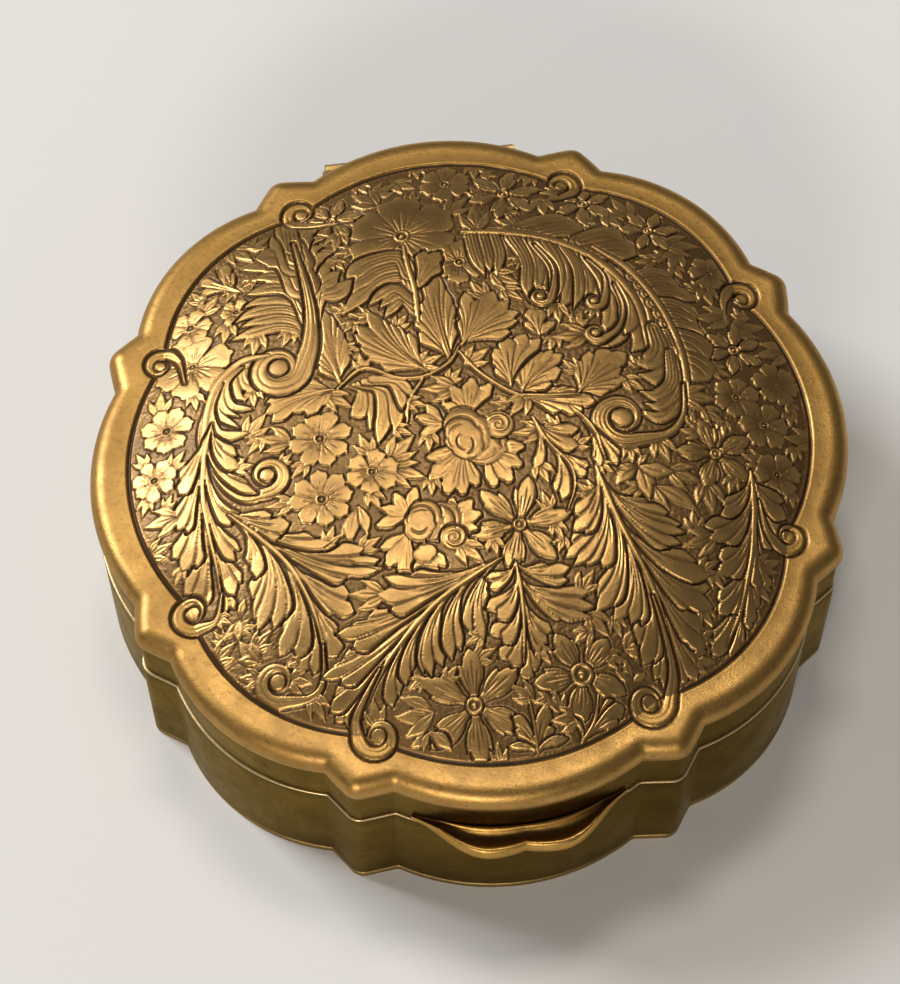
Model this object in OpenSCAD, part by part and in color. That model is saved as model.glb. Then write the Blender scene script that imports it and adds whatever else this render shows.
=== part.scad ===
/* [Outline] */
// Distance from the centre to the crown of each of the four wide lobes, at the front, back, left and right
half_w = 44.6; // [38:0.1:56]
// Distance from the centre to the point that a wide lobe's arc is drawn about
wide_arc_at = 17.9; // [15:0.1:20]
// How much further out the crowns of the four narrow lobes are, between the wide ones
narrow_out = 0.1; // [0:0.1:0.6]
// Distance from the centre to the point that a narrow lobe's arc is drawn about
narrow_arc_at = 22.8; // [20:0.1:25]
// Angle from a wide lobe's axis to the pointed corner beside it
corner_at = 24.7; // [23:0.1:26]
// How much further out than a wide lobe's crown the tip of each corner is
corner_out = 0.3; // [-0.4:0.1:1.2]
// Radius of each corner's tip
corner_round = 2.2; // [1.2:0.1:2.6]
// Slope of a corner's two flanks, measured from the square of its axis
corner_slope = 30.5; // [26:0.5:36]
// Radius of the hollow where a flank meets a lobe
hollow_r = 0.5; // [0.3:0.1:0.9]

/* [Base] */
// Height of the base, from the table to the seam
base_h = 17.4; // [12:0.1:30]
// Thickness of the floor plate
floor_t = 1.2; // [0.8:0.1:2]
// How far the base wall stands in from the rim's widest line
wall_inset = 0.2; // [0.1:0.05:0.3]
// Thickness of the base wall
wall_t = 1.2; // [1:0.05:1.6]
// Thickness of the inner collar that the lid slides over
collar_t = 0.8; // [0.5:0.1:1.2]
// Height of the collar above the seam
collar_up = 3.0; // [1.5:0.1:3.5]
// Depth of the collar below the seam, where it is soldered to the wall
collar_down = 4.0; // [2:0.1:8]

/* [Lid] */
// Height from the seam to the rim's widest line
band_h = 7.4; // [6:0.1:12]
// How far the lid's band stands in from the rim's widest line
band_inset = 0.45; // [0.4:0.05:0.5]
// Space between the lid's band and the collar inside it
lid_gap = 0.3; // [0.2:0.05:0.4]
// Height of the incised border line above the rim's widest line
border_up = 2.0; // [1.5:0.1:3]
// Height of the dome above the border line
dome_up = 6.4; // [4:0.1:10]
// Width of the plain rim on a wide lobe, from its widest line in to the border line
rim_wide = 4.6; // [3.6:0.1:6]
// Distance from the centre to the point that the border line is drawn about on a wide lobe
border_wide_at = 13; // [11:0.1:15]
// Width of the plain rim on a narrow lobe
rim_narrow = 4.5; // [3.6:0.1:6]
// Distance from the centre to the point that the border line is drawn about on a narrow lobe
border_narrow_at = 19; // [17:0.1:21]
// Thickness of the domed top
top_t = 1.0; // [0.8:0.1:1.2]

/* [Thumb piece] */
// Half the angle that the thumb piece takes up, seen from the centre
thumb_half = 16.6; // [12:0.1:17]
// How far its two peaks stand out from the rim's widest line
thumb_out = 3.3; // [2.5:0.1:4.5]
// Depth of the notch between the peaks
thumb_notch = 0.8; // [0.4:0.1:1.2]
// Height of the thumb piece's underside above the seam
thumb_up = 0.4; // [0.2:0.1:1.2]
// Height of the raised outer lip
thumb_lip_h = 2.0; // [1.4:0.1:2.6]

/* [Hinge] */
// Length of the hinge barrel
barrel_l = 24; // [20:0.5:28]
// Outer radius of the barrel's knuckles
knuckle_r = 1.3; // [1.2:0.05:1.5]
// Radius of the hinge pin
pin_r = 0.45; // [0.35:0.05:0.5]
// Radius that the pin is free by in the knuckles
pin_play = 0.04; // [0.03:0.01:0.08]
// Thickness of the two gutters that cradle the barrel
gutter_t = 0.8; // [0.6:0.1:1]
// Angle at which the gutters' back edges meet and stop the lid
stop_angle = 106; // [96:1:125]

/* [Hidden] */

// Points along each arc of the outline
lobe_steps = 6;
hollow_steps = 2;
tip_steps = 4;
// Smallest radius left at a corner's tip when the outline is drawn inward
least_tip = 0.3;
// Free space between two faces that turn past each other
turn_gap = 0.25;
// Space left between two solids where a cutter has to run past a face
past = 1;
// Facets of the round hinge parts
round_facets = 48;

centre_deg = 45;
quarter_deg = 90;
wide_centre = [wide_arc_at, 0];
wide_r = half_w - wide_arc_at;
narrow_centre = narrow_arc_at * heading(centre_deg);
narrow_r = half_w + narrow_out - narrow_arc_at;
tip_centre = (half_w + corner_out - corner_round) * heading(corner_at);
wide_face = corner_at - corner_slope;
narrow_face = corner_at + corner_slope;
wide_hollow = hollow_centre(wide_face, 1, wide_centre, wide_r);
narrow_hollow = hollow_centre(narrow_face, -1, narrow_centre, narrow_r);

// How fast the dome falls away towards the border line, and loses the line's lobes
dome_power = 3;
lobe_fade = 3;
// The dome's rings, from the border line to the crown, and those of its underside
dome_steps = [1, 0.93, 0.84, 0.72, 0.56, 0.38, 0.18];
under_steps = [0.18, 0.5, 0.8, 0.96];

rim_z = base_h + band_h;
border_z = rim_z + border_up;
crown_z = border_z + dome_up;
// The rolled rim's section above and below its widest line: how far in, and how far up
rim_section = [[0.12, -0.9], [0, 0], [0.25, 0.75], [1.0, 1.45], [2.2, 1.8]];
rim_last = rim_section[len(rim_section) - 1];
// Drop from the rim's widest line to the band's top edge, under the rolled rim
roll_drop = 1.6;
// How much further in, and how far below the widest line, the rim's underside bends
under_shift = 0.2;
band_top = rim_z - roll_drop;
collar_inset = wall_inset + wall_t;
// The band fills the space between its own inset and the collar, less the gap
band_inner = collar_inset - lid_gap;

border_wide_r = half_w - rim_wide - border_wide_at;
border_narrow_r = half_w + narrow_out - rim_narrow - border_narrow_at;

// Place of the thumb piece's peaks, as a share of the way from its middle to its end
thumb_peak = 0.32;
// How steeply the notch is cut towards its middle
notch_power = 1.6;
thumb_steps = 20;
thumb_plate_t = 1.2;
thumb_lip_w = 0.9;
// How far the thumb piece's solid runs in behind the rim, before the band cuts it
thumb_depth = 8;

// Depth and height of the web between a hinge gutter and the wall
web_depth = 8;
web_h = 1.6;

hinge_y = half_w - wall_inset + knuckle_r + gutter_t;
hinge_z = base_h;
knuckles = 5;
knuckle_gap = 0.12;
knuckle_l = barrel_l / knuckles - knuckle_gap;
head_r = 0.95;
head_t = 0.5;
// Half of the slit between the two gutters
slit = 0.06;
// The gutters' edges round the hinge axis, where 0 points to the back and 90 up
gutter_front = 180;
lid_gutter_back = 90;
base_gutter_back = 360 + lid_gutter_back - stop_angle;
sector_steps = 8;

brass = "#b98f3c";
brass_dark = "#7d6027";
brass_old = "#9a7a3d";

function heading(a) = [cos(a), sin(a)];
function bearing(p) = atan2(p[1], p[0]);
function arc(c, r, a0, a1, steps) = [for (i = [0:steps]) c + r * heading(a0 + (a1 - a0) * i / steps)];
function turned(points, a) =
    [for (p = points) [p[0] * cos(a) - p[1] * sin(a), p[0] * sin(a) + p[1] * cos(a)]];
function swapped(points) = [for (i = [len(points) - 1:-1:0]) [points[i][1], points[i][0]]];
function but_first(points) = [for (i = [1:len(points) - 1]) points[i]];
function but_last(points) = [for (i = [0:len(points) - 2]) points[i]];

// Centre of the hollow between a flank and a lobe: outside the flank by the
// hollow's radius, and outside the lobe by the same
function hollow_centre(face, side, lobe_c, lobe_r) =
    let (n = heading(face),
         along = side * [n[1], -n[0]],
         start = tip_centre + (corner_round + hollow_r) * n,
         w = start - lobe_c,
         b = w * along,
         c = w * w - pow(lobe_r + hollow_r, 2))
    start + along * (-b - sqrt(b * b - c));

// An eighth of the outline, drawn in by u: half a wide lobe, the corner, half a narrow lobe
function eighth(u) =
    let (tip_r = max(corner_round - u, least_tip),
         pull = (tip_r - (corner_round - u)) / cos(corner_slope),
         tip = tip_centre - pull * heading(corner_at),
         wide_end = bearing(wide_hollow - wide_centre),
         narrow_end = bearing(narrow_hollow - narrow_centre))
    concat(but_last(arc(wide_centre, wide_r - u, 0, wide_end, lobe_steps)),
           arc(wide_hollow, hollow_r + u, wide_end + 180, wide_face + 180, hollow_steps),
           arc(tip, tip_r, wide_face, narrow_face, tip_steps),
           arc(narrow_hollow, hollow_r + u, narrow_face + 180, narrow_end + 180, hollow_steps),
           but_first(arc(narrow_centre, narrow_r - u, narrow_end, centre_deg, lobe_steps)));

// The whole outline, drawn in by u: an eighth and its mirror image make a quarter
function outline(u) =
    let (e = eighth(u), quarter = concat(e, but_first(but_last(swapped(e)))))
    [for (k = [0:3]) each turned(quarter, k * quarter_deg)];

// Radius of the border line in direction a: the outer one of the two lobes' arcs there
function lobe_reach(c, r, a) = c * cos(a) + sqrt(max(r * r - pow(c * sin(a), 2), 0));
function border_radius(a) =
    let (w = abs(a - quarter_deg * round(a / quarter_deg)))
    max(lobe_reach(border_wide_at, border_wide_r, w),
        lobe_reach(border_narrow_at, border_narrow_r, centre_deg - w));

module shape(u) { polygon(outline(u)); }
module slab(u, z0, z1) { translate([0, 0, z0]) linear_extrude(z1 - z0) shape(u); }
module ring(u0, u1, z0, z1) {
    translate([0, 0, z0]) linear_extrude(z1 - z0) difference() {
        shape(u0);
        shape(u1);
    }
}

module base_floor() { color(brass_dark) slab(wall_inset, 0, floor_t); }

module base_wall() { color(brass_dark) ring(wall_inset, collar_inset, floor_t, base_h); }

module base_collar() {
    color(brass) ring(collar_inset, collar_inset + collar_t, base_h - collar_down, base_h + collar_up);
}

module lid_band() { color(brass_dark) ring(band_inset, band_inner, base_h, band_top); }

// The domed top is a stack of rings with the same number of points in each. A ring
// is the outline drawn in by u, or for the dome the border line drawn in by the
// factor s, which loses its lobes towards the crown.
function edge_ring(u, z) = [for (p = outline(u)) [p[0], p[1], z]];
function dome_ring(s, drop) =
    [for (p = outline(0))
        let (a = bearing(p),
             lobed = pow(s, lobe_fade),
             r = s * (lobed * border_radius(a) + (1 - lobed) * (half_w - rim_wide)))
        [r * cos(a), r * sin(a), border_z + dome_up * (1 - pow(s, dome_power)) - drop]];

rim_rings = [
    edge_ring(band_inner, band_top),
    edge_ring(band_inset, band_top),
    for (p = rim_section) edge_ring(p[0], rim_z + p[1])
];
under_rings = [
    edge_ring(rim_last[0] + under_shift, rim_z + rim_last[1] - top_t),
    edge_ring(band_inner, rim_z - under_shift)
];

module lid_top() {
    over = [for (s = dome_steps) dome_ring(s, 0)];
    under = [for (s = under_steps) dome_ring(s, top_t)];
    rings = concat(rim_rings, over, under, under_rings);
    crown = len(rim_rings) + len(over) - 1;
    n = len(rings[0]);
    last = len(rings) - 1;
    points = concat([for (r = rings) each r],
                    [[0, 0, crown_z], [0, 0, crown_z - top_t]]);
    top_point = len(points) - 2;
    bottom_point = len(points) - 1;
    bands = [for (k = [0:last]) if (k != crown) each [for (i = [0:n - 1])
        let (a = k * n + i,
             b = k * n + (i + 1) % n,
             c = ((k + 1) % (last + 1)) * n + (i + 1) % n,
             d = ((k + 1) % (last + 1)) * n + i)
        each [[a, c, b], [a, d, c]]]];
    caps = [for (i = [0:n - 1])
        let (a = crown * n + i, b = crown * n + (i + 1) % n)
        each [[a, top_point, b], [a + n, b + n, bottom_point]]];
    color(brass_old) polyhedron(points, concat(bands, caps));
}

// Outer edge of the thumb piece: two peaks with a notch between them, running out
// to a point at each side
function thumb_swell(t) =
    t < thumb_peak ? thumb_out - thumb_notch * pow(1 - t / thumb_peak, notch_power)
                   : thumb_out * (1 + cos(180 * (t - thumb_peak) / (1 - thumb_peak))) / 2;
function front_reach(a) = lobe_reach(wide_arc_at, wide_r, a);
function thumb_edge(inset) =
    [for (i = [-thumb_steps:thumb_steps])
        let (t = abs(i) / thumb_steps,
             a = thumb_half * i / thumb_steps,
             r = front_reach(a) + max(thumb_swell(t) - inset, -band_inset))
        r * heading(a - quarter_deg)];
module crescent(inset, z0, z1) {
    translate([0, 0, z0]) linear_extrude(z1 - z0)
        polygon(concat(thumb_edge(inset), [[0, -half_w + thumb_depth]]));
}

module thumb_piece() {
    z0 = base_h + thumb_up;
    color(brass) difference() {
        crescent(0, z0, z0 + thumb_lip_h);
        crescent(thumb_lip_w, z0 + thumb_plate_t, z0 + thumb_lip_h + past);
        slab(band_inset, z0 - past, z0 + thumb_lip_h + past);
    }
}

// Solids along the hinge axis, which runs left to right at the back
module on_axis(x0, x1) {
    translate([x0, hinge_y, hinge_z]) rotate([0, 90, 0]) children();
}
module rod(r, x0, x1) { on_axis(x0, x1) cylinder(h = x1 - x0, r = r, $fn = round_facets); }
function knuckle_x(i) = -barrel_l / 2 + i * barrel_l / knuckles + knuckle_gap / 2;
module knuckle(i) {
    x0 = knuckle_x(i);
    difference() {
        rod(knuckle_r, x0, x0 + knuckle_l);
        rod(pin_r + pin_play, x0 - past, x0 + knuckle_l + past);
    }
}

// A sector round the hinge axis, from angle a0 to a1
module sector(a0, a1) {
    reach = 2 * (knuckle_r + gutter_t);
    translate([barrel_l, hinge_y, hinge_z]) rotate([90, 0, -90])
        linear_extrude(2 * barrel_l)
            polygon(concat([[0, 0]], [for (i = [0:sector_steps])
                let (a = a0 + (a1 - a0) * i / sector_steps)
                [-reach * cos(a), reach * sin(a)]]));
}

// A gutter: a trough round part of the barrel, and a web that fills the space between
// it and the curved wall. It is relieved where the other half's knuckles turn.
module gutter(a0, a1, z0, z1, inset, others) {
    half = barrel_l / 2;
    difference() {
        union() {
            difference() {
                intersection() {
                    rod(knuckle_r + gutter_t, -half, half);
                    sector(a0, a1);
                }
                translate([-barrel_l, hinge_y - 2 * knuckle_r - 2 * gutter_t, hinge_z - slit])
                    cube([2 * barrel_l, 2 * knuckle_r + 2 * gutter_t, 2 * slit]);
            }
            translate([-half, hinge_y - web_depth, z0]) cube([barrel_l, web_depth, z1 - z0]);
        }
        rod(knuckle_r, -half - past, half + past);
        for (i = others) rod(knuckle_r + turn_gap, knuckle_x(i) - knuckle_gap, knuckle_x(i + 1));
        slab(inset, z0 - past, z1 + past);
    }
}

module base_hinge_gutter() {
    color(brass_dark) gutter(gutter_front, base_gutter_back, hinge_z - web_h, hinge_z - slit, wall_inset, [1, 3]);
}
module lid_hinge_gutter() {
    color(brass_dark) gutter(lid_gutter_back, gutter_front, hinge_z + slit, hinge_z + web_h, band_inset, [0, 2, 4]);
}
module base_knuckle_left() { color(brass_old) knuckle(0); }
module lid_knuckle_left() { color(brass_old) knuckle(1); }
module base_knuckle_middle() { color(brass_old) knuckle(2); }
module lid_knuckle_right() { color(brass_old) knuckle(3); }
module base_knuckle_right() { color(brass_old) knuckle(4); }

module pin_head() { cylinder(h = head_t, r1 = head_r, r2 = head_r / 2, $fn = round_facets); }
module hinge_pin() {
    half = barrel_l / 2 - knuckle_gap / 2;
    color(brass) union() {
        rod(pin_r, -half, half);
        on_axis(half, half) pin_head();
        mirror([1, 0, 0]) on_axis(half, half) pin_head();
    }
}

base_floor();
base_wall();
base_collar();
base_hinge_gutter();
base_knuckle_left();
base_knuckle_middle();
base_knuckle_right();
hinge_pin();
lid_top();
lid_band();
lid_hinge_gutter();
lid_knuckle_left();
lid_knuckle_right();
thumb_piece();
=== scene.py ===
"""A scalloped sweet box in aged brass: looks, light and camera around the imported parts.

Lengths are in millimetres until a mesh is made, which is in metres. The engraved motifs are
laid out in steps of a thousandth of a span of 45 mm, from the middle of the lid, x to the right
and y to the back.
"""

import math

import bpy
import numpy as np
from mathutils import Matrix, Vector


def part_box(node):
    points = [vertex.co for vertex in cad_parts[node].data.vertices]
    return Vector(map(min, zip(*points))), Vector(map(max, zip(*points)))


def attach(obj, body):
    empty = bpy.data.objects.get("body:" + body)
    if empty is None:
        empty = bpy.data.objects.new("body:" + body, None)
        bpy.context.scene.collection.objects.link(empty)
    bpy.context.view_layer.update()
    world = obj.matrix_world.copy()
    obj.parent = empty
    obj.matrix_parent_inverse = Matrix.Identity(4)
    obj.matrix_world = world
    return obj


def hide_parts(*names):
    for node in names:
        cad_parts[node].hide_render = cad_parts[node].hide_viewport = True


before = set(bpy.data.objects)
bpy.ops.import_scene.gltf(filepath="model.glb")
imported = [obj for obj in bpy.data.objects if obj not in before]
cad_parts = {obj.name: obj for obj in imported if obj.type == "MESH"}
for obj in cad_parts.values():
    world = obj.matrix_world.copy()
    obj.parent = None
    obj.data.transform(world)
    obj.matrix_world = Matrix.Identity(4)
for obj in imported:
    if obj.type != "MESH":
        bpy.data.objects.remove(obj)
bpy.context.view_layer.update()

MM = 0.001
SPAN = 45.0
STEP = SPAN / 1000


def node_heights(node):
    """Lowest and highest level of a CAD node, in millimetres."""
    low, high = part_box(node)
    return low.z / MM, high.z / MM


# ---------------------------------------------------------------- sizes of the box
HALF_W = 44.6
WIDE_ARC_AT = 17.9
NARROW_OUT = 0.1
NARROW_ARC_AT = 22.8
CORNER_AT = math.radians(24.7)
CORNER_OUT = 0.3
CORNER_ROUND = 2.2
CORNER_SLOPE = math.radians(30.5)
HOLLOW_R = 0.5
LEAST_TIP = 0.3

FLOOR_T = node_heights("base_floor")[1]
BASE_H = node_heights("base_wall")[1]
COLLAR_LOW, COLLAR_TOP = node_heights("base_collar")
BAND_TOP = node_heights("lid_band")[1]
CROWN_Z = node_heights("lid_top")[1]
BAND_H = 7.4
BORDER_UP = 2.0
RIM_Z = BASE_H + BAND_H
BORDER_Z = RIM_Z + BORDER_UP
DOME_UP = CROWN_Z - BORDER_Z
WALL_INSET = 0.2
BAND_INSET = 0.45
BAND_INNER = 1.1
COLLAR_INSET = 1.4
COLLAR_T = 0.8
RIM_WIDE = 4.6
RIM_NARROW = 4.5
SHOULDER_INSET = 2.2
SHOULDER_FALL = 0.16
BORDER_WIDE_AT = 13.0
BORDER_NARROW_AT = 19.0
BORDER_WIDE_R = HALF_W - RIM_WIDE - BORDER_WIDE_AT
BORDER_NARROW_R = HALF_W + NARROW_OUT - RIM_NARROW - BORDER_NARROW_AT
DOME_POWER = 3
LOBE_FADE = 3
TOP_T = 1.0
GRID_HALF = 370


# ---------------------------------------------------------------- outline
def heading(angle):
    return np.array([math.cos(angle), math.sin(angle)])


def arc(centre, radius, start, end, steps):
    angles = np.linspace(start, end, steps + 1)
    return np.stack([centre[0] + radius * np.cos(angles), centre[1] + radius * np.sin(angles)], 1)


WIDE_CENTRE = np.array([WIDE_ARC_AT, 0.0])
WIDE_R = HALF_W - WIDE_ARC_AT
NARROW_CENTRE = NARROW_ARC_AT * heading(math.pi / 4)
NARROW_R = HALF_W + NARROW_OUT - NARROW_ARC_AT
TIP_CENTRE = (HALF_W + CORNER_OUT - CORNER_ROUND) * heading(CORNER_AT)
WIDE_FACE = CORNER_AT - CORNER_SLOPE
NARROW_FACE = CORNER_AT + CORNER_SLOPE


def hollow_centre(face, side, lobe_centre, lobe_radius):
    """Centre of the hollow between a corner's flank and a lobe, outside both by its radius."""
    outward = heading(face)
    along = side * np.array([outward[1], -outward[0]])
    start = TIP_CENTRE + (CORNER_ROUND + HOLLOW_R) * outward
    away = start - lobe_centre
    b = away @ along
    c = away @ away - (lobe_radius + HOLLOW_R) ** 2
    return start + along * (-b - math.sqrt(b * b - c))


WIDE_HOLLOW = hollow_centre(WIDE_FACE, 1, WIDE_CENTRE, WIDE_R)
NARROW_HOLLOW = hollow_centre(NARROW_FACE, -1, NARROW_CENTRE, NARROW_R)


def outline(inset, fine=4):
    """The scalloped outline drawn in by inset, with the same number of points for any inset."""
    tip_r = max(CORNER_ROUND - inset, LEAST_TIP)
    pull = (tip_r - (CORNER_ROUND - inset)) / math.cos(CORNER_SLOPE)
    tip = TIP_CENTRE - pull * heading(CORNER_AT)
    wide_end = math.atan2(*(WIDE_HOLLOW - WIDE_CENTRE)[::-1])
    narrow_end = math.atan2(*(NARROW_HOLLOW - NARROW_CENTRE)[::-1])
    half_turn = math.pi
    eighth = np.concatenate([
        arc(WIDE_CENTRE, WIDE_R - inset, 0, wide_end, 5 * fine)[:-1],
        arc(WIDE_HOLLOW, HOLLOW_R + inset, wide_end + half_turn, WIDE_FACE + half_turn, fine),
        arc(tip, tip_r, WIDE_FACE, NARROW_FACE, 2 * fine),
        arc(NARROW_HOLLOW, HOLLOW_R + inset, NARROW_FACE + half_turn, narrow_end + half_turn, fine),
        arc(NARROW_CENTRE, NARROW_R - inset, narrow_end, math.pi / 4, 5 * fine)[1:],
    ])
    quarter = np.concatenate([eighth, eighth[-2:0:-1, ::-1]])
    turns = []
    for k in range(4):
        c, s = round(math.cos(k * math.pi / 2)), round(math.sin(k * math.pi / 2))
        turns.append(np.stack([c * quarter[:, 0] - s * quarter[:, 1],
                               s * quarter[:, 0] + c * quarter[:, 1]], 1))
    return np.concatenate(turns)


def outline_radius(inset, angles):
    """Distance from the middle to the outline drawn in by inset, in each direction."""
    points = outline(inset, 40)
    at = np.arctan2(points[:, 1], points[:, 0])
    order = np.argsort(at)
    reach = np.hypot(points[:, 0], points[:, 1])
    return np.interp(angles, at[order], reach[order], period=2 * np.pi)


def lobe_reach(centre, radius, angle):
    square = np.maximum(radius ** 2 - (centre * np.sin(angle)) ** 2, 0)
    return centre * np.cos(angle) + np.sqrt(square)


def border_radius(angles):
    """Distance from the middle to the incised border line in each direction."""
    quarter = np.pi / 2
    from_axis = np.abs(angles - quarter * np.round(angles / quarter))
    return np.maximum(lobe_reach(BORDER_WIDE_AT, BORDER_WIDE_R, from_axis),
                      lobe_reach(BORDER_NARROW_AT, BORDER_NARROW_R, np.pi / 4 - from_axis))


# ---------------------------------------------------------------- meshes
def mesh_object(name, points, faces):
    """A mesh from points in millimetres and a list of arrays of faces."""
    mesh = bpy.data.meshes.new(name)
    corners = np.concatenate([f.ravel() for f in faces]).astype(np.int32)
    sizes = np.concatenate([np.full(len(f), f.shape[1]) for f in faces]).astype(np.int32)
    starts = np.concatenate([[0], np.cumsum(sizes)[:-1]]).astype(np.int32)
    mesh.vertices.add(len(points))
    mesh.vertices.foreach_set("co", (np.asarray(points) * MM).astype(np.float32).ravel())
    mesh.loops.add(len(corners))
    mesh.loops.foreach_set("vertex_index", corners)
    mesh.polygons.add(len(sizes))
    mesh.polygons.foreach_set("loop_start", starts)
    mesh.polygons.foreach_set("use_smooth", np.full(len(sizes), True))
    mesh.update(calc_edges=True)
    mesh.validate()
    thing = bpy.data.objects.new(name, mesh)
    bpy.context.scene.collection.objects.link(thing)
    return thing


def quads_between(first, second, closed=True):
    """Quads between two rows of point numbers of the same length."""
    if closed:
        return np.stack([first, np.roll(first, -1), np.roll(second, -1), second], 1)
    return np.stack([first[:-1], first[1:], second[1:], second[:-1]], 1)


def rounded(corners, radius, steps=4):
    """A closed section of (inset, height) corners with each corner rounded."""
    corners = np.array(corners, float)
    result = []
    for k in range(len(corners)):
        before, here, after = corners[k - 1], corners[k], corners[(k + 1) % len(corners)]
        size = min(radius, 0.45 * np.linalg.norm(before - here),
                   0.45 * np.linalg.norm(after - here))
        start = here + (before - here) / np.linalg.norm(before - here) * size
        end = here + (after - here) / np.linalg.norm(after - here) * size
        for t in np.linspace(0, 1, steps + 1):
            result.append((1 - t) ** 2 * start + 2 * t * (1 - t) * here + t * t * end)
    return np.array(result)


def swept(name, section, fine=6):
    """A closed section of (inset, height) points swept round the outline."""
    rings = []
    for inset, height in section:
        flat = outline(inset, fine)
        rings.append(np.column_stack([flat, np.full(len(flat), height)]))
    count = len(rings[0])
    numbers = np.arange(len(rings) * count).reshape(len(rings), count)
    faces = [quads_between(numbers[k], numbers[(k + 1) % len(rings)]) for k in range(len(rings))]
    return mesh_object(name, np.concatenate(rings), faces)


# ---------------------------------------------------------------- engraving
CELL = 0.07
FIELD = 42.0
COUNT = int(round(2 * FIELD / CELL)) + 1
GROUND = -0.24
STIPPLE = 0.014
BORDER_DEPTH = 0.40
BORDER_HALF_W = 0.36
MOAT = 0.46
MOAT_W = 0.42
KIN_MOAT = 0.08
JOINED_LESS = 0.04
APART_MORE = 0.12
LINE_HALF_W = 0.12
LEAST_PITCH = 0.15
LEAST_ROOM = 0.6
FLOWER_ROOM = 2.4
field_x = np.linspace(-FIELD, FIELD, COUNT, dtype=np.float32)
field_r = np.hypot(field_x[None, :], field_x[:, None])
field_border = border_radius(np.arctan2(field_x[:, None], field_x[None, :])).astype(np.float32)
inside_border = field_r < field_border - 0.45


def blurred(values, radius):
    """Gaussian blur of the field, radius in millimetres."""
    rows = np.fft.fftfreq(values.shape[0], CELL)[:, None]
    columns = np.fft.rfftfreq(values.shape[1], CELL)[None, :]
    kernel = np.exp(-2 * (np.pi * radius) ** 2 * (rows ** 2 + columns ** 2))
    return np.fft.irfft2(np.fft.rfft2(values) * kernel, values.shape).astype(np.float32)


chance = np.random.default_rng(7)
stipple = blurred(chance.standard_normal((COUNT, COUNT)), 0.10)
stipple = STIPPLE * stipple / stipple.std()
relief = np.where(inside_border, GROUND + np.clip(stipple, -0.05, 0.05), 0.0).astype(np.float32)
border_cut = np.clip(1.2 - np.abs(field_r - field_border + 0.12) / BORDER_HALF_W, 0, 1)
relief = np.minimum(relief, -BORDER_DEPTH * border_cut).astype(np.float32)
covered = np.zeros_like(inside_border)
owner = np.zeros(inside_border.shape, np.int32)
groups = iter(range(1, 100000))


def spot(x, y):
    """A place on the lid in millimetres, from steps."""
    return np.array([x * STEP, y * STEP])


def smooth_path(points, count=16):
    """A smooth line through the points."""
    points = np.asarray(points, float)
    if len(points) == 2:
        return points[0] + np.linspace(0, 1, count)[:, None] * (points[1] - points[0])
    ends = np.vstack([2 * points[0] - points[1], points, 2 * points[-1] - points[-2]])
    lengths = np.linalg.norm(np.diff(points, axis=0), axis=1)
    along = np.concatenate([[0], np.cumsum(lengths)])
    result = []
    for s in np.linspace(0, along[-1], count):
        k = min(int(np.searchsorted(along, s, side="right")) - 1, len(points) - 2)
        t = (s - along[k]) / lengths[k]
        a, b, c, d = ends[k], ends[k + 1], ends[k + 2], ends[k + 3]
        result.append(0.5 * (2 * b + (c - a) * t + (2 * a - 5 * b + 4 * c - d) * t ** 2
                             + (3 * b - a - 3 * c + d) * t ** 3))
    return np.array(result)


def bent_path(start, control, end, count=14):
    t = np.linspace(0, 1, count)[:, None]
    return (1 - t) ** 2 * start + 2 * t * (1 - t) * control + t ** 2 * end


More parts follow.
